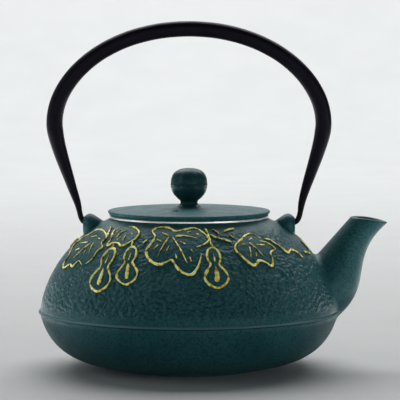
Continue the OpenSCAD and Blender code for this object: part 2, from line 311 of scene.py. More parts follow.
def line_swell(shape, t):
    """How wide a line is along its length, from 0 to 1: even, a vein that thins out, or a drop."""
    if shape == "vein":
        return np.minimum(1, 0.4 + 5 * t) * np.sqrt(1.02 - t)
    if shape == "drop":
        return (t + 0.08) ** 0.7 * np.sqrt(1.02 - t ** 6)
    return np.minimum(1, 0.3 + 7 * np.minimum(t, 1 - t))


class Ornament:
    """The raised lines, and the outlines whose insides stand proud of the ground."""

    def __init__(self):
        self.build = Build()
        self.islands = []

    def line(self, flat, angle, up, width=LINE_W, height=LINE_H, closed=False, shape="even", ground=0.0):
        """Lays one raised line along flat points about (angle, up), on ground raised by that much."""
        path = smooth_path(flat, 0.5, closed)
        t = np.linspace(0, 1, len(path))
        ahead = unit(np.roll(path, -1, axis=0) - np.roll(path, 1, axis=0))
        if not closed:
            ahead[0], ahead[-1] = unit(path[1] - path[0]), unit(path[-1] - path[-2])
        side = np.stack([-ahead[:, 1], ahead[:, 0]], axis=1)
        swell = np.ones(len(path)) if closed else line_swell(shape, t)
        wander = noise_at(np.stack([path[:, 0], path[:, 1], 0 * t + angle], axis=1), 3.6)
        level = 0.25 * np.abs(ahead[:, 0])
        half = width / 2 * swell * (0.9 + level + 0.34 * wander)
        tall = height * (0.35 + 0.65 * swell) * (1 + 0.2 * wander)
        across = np.linspace(-1, 1, 13)
        crest = np.cos(across * math.pi / 2) ** 1.1
        flat_rows = path[:, None, :] + side[:, None, :] * (across[None, :, None] * half[:, None, None])
        place_rows = place(flat_rows, angle, up)
        points, normals = on_shoulder(place_rows[..., 0], place_rows[..., 1])
        lift = ground - 0.35 + (tall[:, None] + 0.35) * crest[None, :]
        # Near 1 on a line's crest, where the gold goes. Low on its flanks, which the material paints dark
        # green as painted shade.
        crest_gold_and_flank_shade = crest[None, :] * (0.9 + 0.22 * wander[:, None])
        self.build.grid(points + normals * lift[..., None], crest_gold_and_flank_shade, ring=True, loop=closed,
                        cap_start=not closed, cap_end=not closed)

    def leaf(self, middle, outline, veins, dashes, width=LINE_W):
        """A leaf with a gap in its outline between the last point and the first."""
        angle, up = np.mean(outline, axis=0)
        edge = flattened(outline, angle, up)
        self.line(edge, middle + angle, up, width=width)
        self.islands.append((smooth_path(edge, 1.5, True), middle + angle, up, 0.5))
        for vein in veins:
            self.line(flattened(vein, angle, up), middle + angle, up, width=width * 0.9, height=0.85,
                      shape="vein", ground=0.4)
        for dash in dashes:
            self.line(flattened(dash, angle, up), middle + angle, up, width=width * 0.72, height=0.7,
                      shape="drop", ground=0.4)

    def gourd(self, angle, up, length, lean):
        """A gourd hanging from (angle, up), with a small drop of gold on top and a large one below."""
        outline = turned(gourd_outline(length), lean)
        self.line(outline, angle, up, width=LINE_W * 0.95, closed=True)
        self.islands.append((smooth_path(outline, 1.5, True), angle, up, 0.75))
        for start, end, width in ((0.2, 0.4, 2.4), (0.5, 0.87, 6.2)):
            middle = (start + end) / 2
            drop = turned([(0, -start * length), (0.2, -middle * length), (0, -end * length)], lean)
            self.line(drop, angle, up, width=width, height=0.8, shape="drop", ground=0.65)

    def side(self, middle):
        """One side's vine, on the half of the pot about the middle angle."""
        self.leaf(middle, BROAD_LEAF, BROAD_VEINS, BROAD_DASHES)
        self.leaf(middle, SMALL_LEAF, SMALL_VEINS, SMALL_DASHES)
        self.leaf(middle, UPPER_LEAF, UPPER_VEINS, UPPER_DASHES)
        self.leaf(middle, LEFT_LEAF, LEFT_VEINS, LEFT_DASHES, width=1.8)
        self.gourd(middle + 11.7, 47, 26.2, 0)
        self.gourd(middle - 40.5, 44.8, 28, 5)
        self.gourd(middle - 29.3, 46.8, 25, 9)
        for stem in STEMS:
            angle, up = stem[0]
            self.line(flattened(stem, angle, up), middle + angle, up, width=2.0)


def inside_depth(points, outline):
    """How far each flat point is inside a closed outline; negative outside."""
    a, b = outline, np.roll(outline, -1, axis=0)
    p = points[:, None, :]
    edge = b - a
    t = np.clip(((p - a) * edge).sum(-1) / (edge ** 2).sum(-1), 0, 1)
    distance = np.linalg.norm(p - a - edge * t[..., None], axis=-1).min(axis=1)
    crosses = (a[:, 1] > p[..., 1]) != (b[:, 1] > p[..., 1])
    level = np.where(edge[:, 1] == 0, 1e-9, edge[:, 1])
    hits = crosses & (p[..., 0] < a[:, 0] + (p[..., 1] - a[:, 1]) * edge[:, 0] / level)
    return np.where(hits.sum(axis=1) % 2 == 1, distance, -distance)


def island_height(around, up, islands):
    """The height that the leaves' and gourds' insides add to the ground."""
    height = np.zeros(around.shape)
    for outline, angle, base, top in islands:
        radius = np.interp(base, shoulder_along, shoulder_line[:, 0])
        turn = (around - angle + 180) % 360 - 180
        flat = np.stack([np.radians(turn) * radius, up - base], axis=-1)
        near = (np.abs(flat - outline.mean(axis=0)) < np.ptp(outline, axis=0).max()).all(axis=-1)
        depth = inside_depth(flat[near], outline)
        bank = smoothstep(-2.2, 0.2, depth) * 0.2 + smoothstep(-0.2, 1.6, depth) * (top - 0.2)
        height[near] = np.maximum(height[near], bank)
    return height


# ---- the pot ----

POT_COLUMNS = 560


def pot_skin(islands):
    """The pot's skin from under the foot, over the shoulder and mouth, and down to the inner floor.

    Returns the rows of points, and how pebbled each point is from 0 to 1.
    """
    foot_in = FOOT_R - 5.5
    foot = [(0.5, 1.5), (foot_in * 0.6, 1.5), (foot_in - 0.3, 1.5), (foot_in + 0.2, 1.3),
            (foot_in + 0.5, 0.3), (foot_in + 0.9, 0), (FOOT_R - 1.5, 0), (FOOT_R - 0.8, 0.1),
            (FOOT_R - 0.2, 0.7)]
    seam = [(SEAM_R - 1.15, SEAM_Z - 0.85), (SEAM_R - 1.2, SEAM_Z - 0.45), (SEAM_R - 0.2, SEAM_Z - 0.4),
            (SEAM_R, SEAM_Z - 0.2), (SEAM_R, SEAM_Z + 0.15), (SEAM_R - 0.4, SEAM_Z + 0.65),
            (SEAM_R - 1.1, SEAM_Z + 0.95), (SEAM_R - 1.2, SEAM_Z + 1.25)]
    mouth = [(MOUTH_R - 0.15, MOUTH_Z - 0.5), (MOUTH_R - 0.5, MOUTH_Z - 0.1), (MOUTH_R - 1, MOUTH_Z),
             (OPENING_R + 0.7, MOUTH_Z), (OPENING_R + 0.1, MOUTH_Z - 0.3), (OPENING_R, MOUTH_Z - 1)]
    shoulder = bezier(SHOULDER, 86)
    outside = [foot, bezier(BELLY, 22), seam, shoulder]
    rows = lathe(np.vstack(outside + [mouth, inside_line]), POT_COLUMNS)
    pebbled = np.zeros(rows.shape[:2])
    first = sum(len(part) for part in outside[:3])
    last = first + len(shoulder)
    around = np.broadcast_to(np.degrees(np.linspace(0, 2 * math.pi, POT_COLUMNS, endpoint=False)),
                             (len(shoulder), POT_COLUMNS))
    way_up = np.interp(shoulder[:, 1], shoulder_line[:, 1], shoulder_along)
    up = np.broadcast_to(way_up[:, None], around.shape)
    points, normals = on_shoulder(around, up)
    raised = island_height(around.ravel(), up.ravel(), islands).reshape(around.shape)
    fade = smoothstep(1, 7, up) * smoothstep(SHOULDER_LENGTH - 3, SHOULDER_LENGTH - 12, up)
    fade = fade * (0.45 + 0.55 * np.sin(np.radians(around)) ** 4) * (1 + 0.8 * smoothstep(44, 24, up))
    pebbled[first:last] = fade * (0.25 + 0.75 * smoothstep(0.45, 0.1, raised))
    rows[first:last] = points + normals * (raised + pebble_height(points) * pebbled[first:last])[..., None]
    return rows, pebbled


def pebble_height(points):
    """Small cast pebbles, wider than high, with slow changes in how strong they are."""
    stretched = points * (1, 1, 1.2)
    cells = noise_at(stretched, 2.6) + 0.35 * noise_at(stretched, 1.5, seed=4.0)
    strength = 0.7 + 0.3 * noise_at(points, 22.0, seed=9.0)
    return 0.27 * cells * strength


inside_low = bezier([(FOOT_R, FLOOR_Z), (70, 6.2), (77.6, 17), (SEAM_R - WALL - 0.6, SEAM_Z)], 10)
inside_high = bezier([(SEAM_R - WALL - 0.6, SEAM_Z + 1), (78.6, 51), (65, 71.4),
                      (OPENING_R, MOUTH_Z - 3.4)], 12)
inside_line = np.vstack([inside_high[::-1], inside_low[::-1], [(FOOT_R * 0.5, FLOOR_Z), (0.5, FLOOR_Z)]])


def outside_radius(z):
    return np.where(z > MOUTH_Z, 0, np.interp(z, outside_line[:, 1], outside_line[:, 0]))


def inside_radius(z):
    line = np.vstack([inside_low, inside_high])
    return np.where(z < FLOOR_Z, 0, np.interp(z, line[:, 1], line[:, 0]))


def rooted(rows, radius_at, reach, count):
    """Blends the root of a spout or boss into a wall of revolution with a soft fillet.

    rows run from a first one behind the wall to the far end. The result starts on the wall, curves over
    onto the boss, and then follows it in count even rows.
    """
    rows = np.asarray(rows, float)
    n, m, _ = rows.shape
    steps = 400
    last = steps - 1
    out = np.zeros((count + 9, m, 3))
    along_body = np.roll(rows, -1, axis=1) - np.roll(rows, 1, axis=1)
    for j in range(m):
        line = rows[:, j]
        step = np.concatenate([[0], np.cumsum(np.linalg.norm(np.diff(line, axis=0), axis=1))])
        even = np.linspace(0, step[-1], steps)
        fine = np.stack([np.interp(even, step, line[:, k]) for k in range(3)], axis=1)
        proud = np.hypot(fine[:, 0], fine[:, 1]) - radius_at(fine[:, 2])
        behind = np.nonzero(proud < 0)[0]
        at = behind[-1] if len(behind) else 0
        corner = fine[at]
        start = min(at + int(reach / (even[1] - even[0])), last - 3)
        row_at = int(np.clip(np.searchsorted(step, even[at]), 0, n - 1))
        outward = unit(np.cross(along_body[row_at, j], fine[min(at + 3, last)] - fine[max(at - 3, 0)]))
        centre = rows[row_at].mean(axis=0)
        outward = outward * np.sign(np.dot(outward, corner - centre) or 1)
        slope = radius_at(corner[2] + 0.5) - radius_at(corner[2] - 0.5)
        radial = unit(np.array([corner[0], corner[1], 0]))
        wall_normal = unit(radial - np.array([0, 0, slope]))
        sideways = unit(outward - np.dot(outward, wall_normal) * wall_normal)
        foot = on_wall(corner + sideways * reach, radius_at, 0)
        t = np.linspace(0, 1, 8)[:, None]
        fillet = (1 - t) ** 2 * foot + 2 * t * (1 - t) * corner + t * t * fine[start]
        out[0, j] = on_wall(corner + sideways * (reach + 0.6), radius_at, -0.4)
        out[1:9, j] = fillet
        picks = np.linspace(start, last, count + 1)[1:]
        out[9:, j] = np.stack([np.interp(picks, np.arange(steps), fine[:, k]) for k in range(3)], axis=1)
    return out


def on_wall(point, radius_at, proud):
    """The point moved level onto the wall, or that far proud of it."""
    z = min(point[2], MOUTH_Z - 0.01)
    r = float(radius_at(z)) + proud
    flat = unit(np.array([point[0], point[1], 0]))
    return np.array([flat[0] * r, flat[1] * r, z])


SPOUT_FRONT = [(80.5, 25.5), (109, 45.9), (88.1, 60.6), (SPOUT_X, 82.4)]
SPOUT_BACK = np.array([(66, 56.2), (91.9, 85.6)])
SPOUT_ROOT_W = 43.0
SPOUT_MOUTH_W = 19.0
SPOUT_WALL = 2.3
LUG_DROP = 1.8
BORE_R = 1.68


def spout_rows(inset, count, sides=96):
    """Rings of the spout, or of its channel when inset is the wall."""
    t = np.linspace(0, 1, count)
    front = bezier(SPOUT_FRONT, count)
    back = SPOUT_BACK[0] + (SPOUT_BACK[1] - SPOUT_BACK[0]) * t[:, None]
    middle = (front + back) / 2
    half = np.linalg.norm(front - back, axis=1) / 2 - inset
    half_w = (SPOUT_ROOT_W + (SPOUT_MOUTH_W - SPOUT_ROOT_W) * np.sin(t * math.pi / 2)) / 2 - inset
    lean = unit(front - back)
    a = np.linspace(0, 2 * math.pi, sides, endpoint=False)
    x = middle[:, 0][:, None] + (lean[:, 0] * half)[:, None] * np.cos(a)
    z = middle[:, 1][:, None] + (lean[:, 1] * half)[:, None] * np.cos(a)
    y = half_w[:, None] * np.sin(a)
    return np.stack([x, y, z], axis=2)


def spout():
    """Rows of the spout's skin: outside from the root up, over the lip, and down its channel."""
    outer = rooted(spout_rows(0, 40), outside_radius, 3.4, 34)
    channel = spout_rows(SPOUT_WALL, 40)
    channel[0] += (-9, 0, -2)
    inner = rooted(channel, inside_radius, 2.5, 24)
    rise = np.array([0.3, 0, 0.9])
    arch = 0.5 * np.sin(np.linspace(0, 2 * math.pi, 96, endpoint=False)) ** 2
    for rows in (outer, inner):
        reach = smoothstep(len(rows) - 9, len(rows) - 1, np.arange(len(rows)))
        rows[..., 2] += reach[:, None] * arch[None, :]
    lip_out, lip_in = outer[-1], inner[-1]
    lip = [lip_out + (lip_in - lip_out) * across + rise * math.sin(across * math.pi) * 0.5
           for across in (0.12, 0.3, 0.5, 0.7, 0.88)]
    rows = np.concatenate([outer, np.array(lip), inner[::-1]])
    return rows + noise_at(rows, 2.2, seed=2.0)[..., None] * 0.03


def in_spout(points):
    """Which points lie inside the spout's skin, well below its surface."""
    rings = spout_rows(1.2, 30, sides=4)
    front, side, back = rings[:, 0], rings[:, 1], rings[:, 2]
    middle = (front + back) / 2
    along = unit(np.gradient(middle, axis=0))
    away = np.abs(((points[:, None, :] - middle) * along).sum(-1))
    i = away.argmin(axis=1)
    lean, half = unit(front - back)[i], np.linalg.norm(front - back, axis=1)[i] / 2
    offset = points - middle[i]
    u = (offset * lean).sum(-1) / half
    v = offset[:, 1] / np.abs(side[i, 1])
    return (u * u + v * v < 1) & (points[:, 0] > 40) & (away[np.arange(len(i)), i] < 6)


def lug(side):
    """Rows of one hooded lug, from its root on the shoulder round to the blind end of its bore."""
    axis_z = PIVOT_Z - LUG_DROP
    hood = bezier([(46.2, 0.9), (51.8, 4.8), (54.6, 7.2), (56.7, 7.0)], 16)
    rounding = [(57.6, 6.7), (58.6, 6.1), (59.5, 5.3), (LUG_X - 0.15, 4.7), (LUG_X, 4.2)]
    a = np.linspace(0, 2 * math.pi, 64, endpoint=False)

    def turned_about_x(profile, z):
        x = np.array(profile)[:, 0][:, None] * side + 0 * a
        r = np.array(profile)[:, 1][:, None]
        return np.stack([x, r * np.cos(a), z + r * np.sin(a)], axis=2)

    boss = rooted(turned_about_x(np.vstack([hood, rounding]), axis_z), outside_radius, 1.6, 24)
    bore = [(LUG_X, BORE_R + 0.35), (LUG_X - 0.35, BORE_R), (LUG_X - 7.9, BORE_R), (LUG_X - 8, 0.2)]
    return np.concatenate([boss, turned_about_x(bore, PIVOT_Z)])


def make_pot(materials):
    ornament = Ornament()
    ornament.side(FRONT)
    ornament.side(BACK)
    build = Build()
    rows, pebbled = pot_skin(ornament.islands)
    build.grid(rows, pebbled, cap_start=True, cap_end=True)
    build.drop_faces(in_spout)
    build.grid(spout())
    build.grid(lug(1), cap_end=True)
    build.grid(lug(-1), cap_end=True)
    pot = build.piece("PotCasting", "pot", "green_iron", "pot_casting")
    pot.data.materials.append(materials["green_iron"])
    pot.data.materials.append(materials["black_enamel"])
    enamel_inside(pot)
    relief = ornament.build.piece("VineRelief", "pot", "gilt_relief", "relief_lines")
    relief.data.materials.append(materials["gilt_relief"])


def enamel_inside(pot):
    """Gives the second material to the faces inside the pot, up to its mouth."""
    for face in pot.data.polygons:
        x, y, z = face.center / MM
        inside = math.hypot(x, y) < outside_radius(z) - WALL * 0.6 and 4 < z < MOUTH_Z - 0.4
        face.material_index = 1 if inside else 0


# ---- lid ----

def make_lid(materials):
    """The lid: a low dome with a rounded rim, a collar below and a steam hole through it."""
    collar_r = wall_high[0] - 1.6
    rim_top = LID_TOP - 2.1
    dome = bezier([(LID_R - 0.45, rim_top + 0.05), (LID_R * 0.7, LID_TOP - 0.5), (LID_R * 0.4, LID_TOP),
                   (8, LID_TOP)], 30)
    under_z = LID_TOP - 2.6
    profile = np.vstack([
        [(0.3, under_z), (12, under_z), (collar_r - 4, under_z - 0.6), (collar_r - 2.6, under_z - 1.4),
         (collar_r - 2.4, LID_Z - 4.8), (collar_r - 2, LID_Z - 5), (collar_r - 0.4, LID_Z - 5),
         (collar_r, LID_Z - 4.6), (collar_r, LID_Z - 0.3), (collar_r + 0.3, LID_Z)],
        [(LID_R - 3, LID_Z), (LID_R - 1.5, LID_Z + 0.1), (LID_R - 1.05, LID_Z + 0.4),
         (LID_R - 0.15, LID_Z + 1.5), (LID_R, LID_Z + 1.9), (LID_R - 0.05, rim_top - 0.3)],
        dome, [(4, LID_TOP), (0.3, LID_TOP)]])
    rows = lathe(profile, 224)
    rows[..., 2] += noise_at(rows, 9.0, seed=5.0) * 0.05 * (rows[..., 2] > rim_top - 0.5)
    build = Build()
    build.grid(rows, cap_start=True, cap_end=True)
    lid = build.piece("LidCasting", "lid", "green_lid", "lid_casting")
    lid.data.materials.append(materials["green_lid"])
    bore_through(lid, (-7, -25), 1.75)
    return lid


def bore_through(lid, at, radius):
    """Cuts the steam hole, flared a little at the top."""
    profile = [(0.05, LID_Z - 8), (radius, LID_Z - 8), (radius, LID_TOP - 1.3),
               (radius + 0.9, LID_TOP - 0.3), (radius + 0.9, LID_TOP + 3), (0.05, LID_TOP + 3)]
    build = Build()
    build.grid(lathe(profile, 40) + np.array([at[0], at[1], 0]), cap_start=True, cap_end=True)
    mesh = bpy.data.meshes.new("SteamHoleCutter")
    mesh.from_pydata((np.array(build.points) * MM).tolist(), [], build.faces)
    cutter = bpy.data.objects.new("SteamHoleCutter", mesh)
    bpy.context.scene.collection.objects.link(cutter)
    clean(cutter)
    cut = lid.modifiers.new("SteamHole", "BOOLEAN")
    cut.operation = "DIFFERENCE"
    cut.solver = "EXACT"
    cut.object = cutter
    apply_modifiers(lid)
    bpy.data.objects.remove(cutter)


def apply_modifiers(obj):
    """Replaces the object's mesh by what its modifiers make of it."""
    graph = bpy.context.evaluated_depsgraph_get()
    made = bpy.data.meshes.new_from_object(obj.evaluated_get(graph), depsgraph=graph)
    obj.modifiers.clear()
    obj.data = made


def make_knob(materials):
    """Onion-shaped knob with soft lobes, and a moulding line round its widest place."""
    lobes = 5
    base = knob_low[2]
    top = knob_high[2]
    r = knob_high[0] - 0.2
    crease = base + 12.8
    neck = bezier([(6.9, base), (5.5, base + 1.2), (4.6, base + 1.9), (4.9, base + 2.9)], 10)
    lower = bezier([(5.2, base + 3.6), (r - 1.8, base + 6.3), (r, base + 9), (r, crease - 0.35)], 26)
    line = [(r + 0.14, crease - 0.22), (r + 0.2, crease), (r + 0.16, crease + 0.2)]
    upper = bezier([(r - 0.02, crease + 0.4), (r, base + 19.2), (r * 0.69, top), (0.3, top)], 34)
    rows = lathe(np.vstack([[(0.3, base)], neck, lower, line, upper]), 200)
    angle = np.linspace(0, 2 * math.pi, 200, endpoint=False)
    between = (0.5 - 0.5 * np.cos(lobes * (angle + math.pi / 2))) ** 5
    height = (rows[..., 2] - base) / (top - base)
    depth = 0.42 * smoothstep(0.58, 0.68, height) * smoothstep(0.97, 0.8, height)
    depth = depth + 0.2 * smoothstep(0.15, 0.35, height) * smoothstep(0.57, 0.5, height)
    radius = np.hypot(rows[..., 0], rows[..., 1])
    rows[..., :2] *= (1 - depth * between[None, :] / np.maximum(radius, 1))[..., None]
    dimple = np.exp(-((rows[..., 0] + 1.2) ** 2 + (rows[..., 1] + 1.5) ** 2) / 1.6) * (height > 0.9)
    rows[..., 2] -= 0.5 * dimple
    rows += noise_at(rows, 2.0, seed=3.0)[..., None] * 0.05
    build = Build()
    build.grid(rows, cap_start=True, cap_end=True)
    knob = build.piece("LidKnob", "lid", "green_knob", "lid_knob")
    knob.data.materials.append(materials["green_knob"])


# ---- handle ----

BAR_T = 9.2
END_T = 3.1
SLACK = 1.1


def handle_line():
    """Half of the handle's centre line as (x, z), from the top to the tip of the pin in the lug."""
    top = bail_high[2] - 4.55
    side = bail_high[0] - 4.55
    crown = bezier([(0, top), (46.6, top), (side, 164.3), (side, 139)], 90)
    leg = bezier([(side, 139), (side, 126.3), (64.9, 102.2), (63.6, 90.5)], 90)[1:]
    bend = bezier([(63.6, 90.5), (62.9, 85.2), (62.0, PIVOT_Z + 0.1), (58.6, PIVOT_Z)], 26)[1:]
    pin = [(56.5, PIVOT_Z), (54.5, PIVOT_Z), (53.3, PIVOT_Z)]
    return np.vstack([crown, leg, bend, pin])


def make_handle(materials):
    """The bail: one bar, forged round, thinning down both legs, with a folded seam on its inner side."""
    half = handle_line()
    left = half[:0:-1] * (-1, 1)
    left[:, 0] += SLACK * smoothstep(104, 86, left[:, 1]) * smoothstep(56, 61, -left[:, 0])
    line = np.vstack([left, half])
    ahead = unit(np.gradient(line, axis=0))
    out = np.stack([-ahead[:, 1], ahead[:, 0]], axis=1)
    out *= np.sign((out * (line - (0, 125))).sum(axis=1))[:, None]
    count = len(half)
    before_end = np.abs(np.arange(len(line)) - (count - 1)) / (count - 1)
    height = line[:, 1]
    thick = END_T + (BAR_T - END_T) * np.clip((height - 89) / 45, 0, 1) ** 0.86
    thick = thick - 0.35 * smoothstep(150, 190, height)
    a = np.linspace(0, 2 * math.pi, 48, endpoint=False)
    seam = np.exp(-((a - math.pi) / 0.13) ** 2)
    squared = (np.abs(np.cos(a)) ** 2.6 + np.abs(np.sin(a)) ** 2.6) ** (-1 / 2.6)
    along = np.cumsum(np.concatenate([[0], np.linalg.norm(np.diff(line, axis=0), axis=1)]))
    wobble = noise_at(np.stack([along[:, None] / 9 + 0 * a, np.cos(a) + 0 * along[:, None],
                                np.sin(a) + 0 * along[:, None]], axis=2), 1.0, seed=6.0)
    seam_depth = 0.09 * smoothstep(88, 100, height)
    r = thick[:, None] / 2 * squared * (1 - seam_depth[:, None] * seam) * (1 + 0.012 * wobble)
    deep = 1 + 0.13 * smoothstep(90, 130, height)[:, None]
    x = line[:, 0][:, None] + out[:, 0][:, None] * r * np.cos(a)
    z = line[:, 1][:, None] + out[:, 1][:, None] * r * np.cos(a)
    y = r * deep * np.sin(a)
    rows = np.stack([x, y, z], axis=2)
    build = Build()
    build.grid(rows, values=np.broadcast_to(before_end[:, None], x.shape), cap_start=True, cap_end=True)
    handle = build.piece("BailHandle", "handle", "black_handle", "bail_handle")
    handle.data.materials.append(materials["black_handle"])


# ---- infuser ----

HOLE_R = 0.62


def make_infuser(materials):
    """Steel rim, perforated side and base, and the channel ring between them."""
    inner = wall_high[0] - 0.1
    top = rim_high[2]
    sit = MOUTH_Z
    reach = rim_high[0]
    rim = [(inner, rim_low[2] + 0.2), (inner + 0.3, rim_low[2]), (inner + 0.6, rim_low[2] + 0.2),
           (inner + 0.6, sit - 1.3), (inner + 0.9, sit - 0.5), (inner + 1.7, sit), (reach - 0.9, sit),
           (reach - 0.15, sit + 0.02), (reach - 0.02, sit + 0.08), (reach, sit + 0.15), (reach, sit + 0.22),
           (reach - 0.05, top - 0.24), (reach - 0.06, top - 0.17), (reach - 0.15, top - 0.06),
           (reach - 0.35, top), (reach - 0.8, top),
           (inner + 1.6, top), (inner + 0.7, top - 0.3), (inner + 0.2, top - 1), (inner, top - 1.8)]
    build = Build()
    build.grid(lathe(rim, 192), loop=True)
    piece = build.piece("InfuserRim", "infuser", "infuser_steel", "infuser_rim")
    piece.data.materials.append(materials["infuser_steel"])

    base = wall_low[2]
    band = [(inner - 0.6, base - 0.3), (inner - 0.4, base + 0.1), (inner - 2.2, base + 0.1),
            (inner - 2.4, base - 0.3), (inner - 2.2, base - 0.6), (inner + 0.4, base - 0.6),
            (inner + 0.75, base - 0.3), (inner + 0.8, base + 0.1), (inner + 0.8, base + 3.7),
            (inner + 0.6, base + 4), (inner + 0.3, base + 3.8), (inner + 0.1, base + 0.5)]
    build = Build()
    build.grid(lathe(band, 160), loop=True)
    piece = build.piece("InfuserBaseBand", "infuser", "infuser_steel", "infuser_base_band")
    piece.data.materials.append(materials["infuser_steel"])

    make_perforated_wall(materials, inner, base)
    make_perforated_base(materials, inner, base)


def holed_cell(centre, across, up, hole, corners=8):
    """A square cell with a round hole: the outline and the hole's ring, corner for corner."""
    a = (np.arange(corners) + 0.5) * 2 * math.pi / corners
    square = np.stack([np.cos(a), np.sin(a)], axis=1)
    square /= np.abs(square).max(axis=1, keepdims=True)
    ring = np.stack([np.cos(a), np.sin(a)], axis=1) * hole
    return centre + square * (across, up), centre + ring


def add_sheet_cell(build, outer, inner, to_space):
    """A cell of sheet as four rings: outside face, hole edge and inside face."""
    rows = [to_space(outer, 0), to_space(inner, 0), to_space(inner, 1), to_space(outer, 1)]
    build.grid(np.array(rows))


def make_perforated_wall(materials, inner, base):
    columns = 84
    rows = 16
    solid_h = 5.0
    height = wall_high[2] - base
    pitch = (height - 2 * solid_h) / rows
    width = 2 * math.pi * inner / columns
    build = Build()

    def to_space(flat, side):
        r = inner + 0.35 - 0.5 * side
        a = flat[:, 0] / inner
        return np.stack([r * np.cos(a), r * np.sin(a), flat[:, 1]], axis=1)

    for row in range(rows):
        for column in range(columns):
            centre = np.array([(column + 0.5 * (row % 2)) * width, base + solid_h + (row + 0.5) * pitch])
            outer, hole = holed_cell(centre, width / 2, pitch / 2, HOLE_R)
            add_sheet_cell(build, outer, hole, to_space)
    for low, high in ((base, base + solid_h), (wall_high[2] - solid_h, wall_high[2])):
        r = inner + 0.35
        build.grid(lathe([(r, low), (r, high), (r - 0.5, high), (r - 0.5, low)], columns * 2), loop=True)
    piece = build.piece("InfuserWall", "infuser", "infuser_mesh", "infuser_wall")
    piece.data.materials.append(materials["infuser_mesh"])


def make_perforated_base(materials, inner, base):
    pitch = 2.6
    build = Build()
    reach = int(inner / pitch) + 1

    def to_space(flat, side):
        return np.stack([flat[:, 0], flat[:, 1], base + 0.55 - 0.45 * side + 0 * flat[:, 0]], axis=1)

    for i in range(-reach, reach + 1):
        for j in range(-reach, reach + 1):
            centre = np.array([i * pitch, j * pitch])
            if np.hypot(*centre) < inner - 2.2:
                outer, hole = holed_cell(centre, pitch / 2, pitch / 2, HOLE_R)
                add_sheet_cell(build, outer, hole, to_space)
    r = inner - 0.3
    edge = [(r - 3.4, base + 0.1), (r, base + 0.1), (r, base + 0.55), (r - 3.4, base + 0.55)]
    build.grid(lathe(edge, 120), loop=True)
    piece = build.piece("InfuserBase", "infuser", "infuser_mesh", "infuser_base")
    piece.data.materials.append(materials["infuser_mesh"])


# ---- materials ----

class Shader:
    """A material under construction: short calls for the nodes that this script uses."""

    def __init__(self, name):
        self.material = bpy.data.materials.new(name)
        self.material.use_nodes = True
        self.nodes = self.material.node_tree.nodes
        self.links = self.material.node_tree.links
        self.surface = self.nodes["Principled BSDF"]
        self.place = self.nodes.new("ShaderNodeTexCoord").outputs["Object"]

    def set(self, **values):
        for name, value in values.items():
            self.surface.inputs[name.replace("_", " ")].default_value = value

    def noise(self, size_mm, detail=3.0, rough=0.55, stretch=(1, 1, 1)):
        spread = self.nodes.new("ShaderNodeMapping")
        spread.inputs["Scale"].default_value = stretch
        self.links.new(self.place, spread.inputs["Vector"])
        node = self.nodes.new("ShaderNodeTexNoise")
        node.inputs["Scale"].default_value = 1 / (size_mm * MM)
        node.inputs["Detail"].default_value = detail
        node.inputs["Roughness"].default_value = rough
        self.links.new(spread.outputs["Vector"], node.inputs["Vector"])
        return node.outputs["Fac"]

    def attribute(self, name):
        node = self.nodes.new("ShaderNodeAttribute")
        node.attribute_name = name
        return node.outputs["Fac"]

    def band(self, low, high, soft):
        """1 between two heights in millimetres, fading to 0 over a soft edge."""
        split = self.nodes.new("ShaderNodeSeparateXYZ")
        self.links.new(self.place, split.inputs["Vector"])
        share = self.math("DIVIDE", split.outputs["Z"], 100 * MM)
        return self.ramp(share, ((low - soft) / 100, 0.0), (low / 100, 1.0), (high / 100, 1.0),
                         ((high + soft) / 100, 0.0))

    def ramp(self, value, *stops):
        """Colours or numbers at places from 0 to 1."""
        node = self.nodes.new("ShaderNodeValToRGB")
        ramp = node.color_ramp
        while len(ramp.elements) < len(stops):
            ramp.elements.new(0.5)
        for element, (at, colour) in zip(ramp.elements, stops):
            element.position = at
            element.color = (colour, colour, colour, 1) if isinstance(colour, (int, float)) else (*colour, 1)
        self.links.new(value, node.inputs["Fac"])
        return node.outputs["Color"]

    def math(self, operation, a, b=None):
        node = self.nodes.new("ShaderNodeMath")
        node.operation = operation
        for socket, value in zip(node.inputs, (a, b)):
            if isinstance(value, (int, float)):
                socket.default_value = value
            elif value is not None:
                self.links.new(value, socket)
        return node.outputs["Value"]

    def mix(self, factor, a, b):
        node = self.nodes.new("ShaderNodeMix")
        node.data_type = "RGBA"
        self.links.new(factor, node.inputs["Factor"])
        for name, value in (("A", a), ("B", b)):
            socket = [s for s in node.inputs if s.name == name and s.type == "RGBA"][0]
            if isinstance(value, tuple):
                socket.default_value = (*value, 1)
            else:
                self.links.new(value, socket)
        return [s for s in node.outputs if s.type == "RGBA"][0]

    def bump(self, *layers):
        """Chains bumps given as (height output, depth in millimetres)."""
        normal = None
        for height, depth_mm in layers:
            node = self.nodes.new("ShaderNodeBump")
            node.inputs["Distance"].default_value = depth_mm * MM
            self.links.new(height, node.inputs["Height"])
            if normal is not None:
                self.links.new(normal, node.inputs["Normal"])
            normal = node.outputs["Normal"]
        self.links.new(normal, self.surface.inputs["Normal"])

    def drive(self, name, value):
        self.links.new(value, self.surface.inputs[name])


DEEP_GREEN = (0.011, 0.066, 0.073)
PALE_GREEN = (0.022, 0.098, 0.109)
# Dark green for the casting's fine specks. It also serves as painted shade under the seam ridge and on the
# relief's flanks.
DARK_GREEN_SPECK_AND_SHADE = (0.003, 0.016, 0.020)
# A pale green used as a painted highlight along the seam ridge.
SEAM_HIGHLIGHT_GREEN = (0.07, 0.17, 0.19)


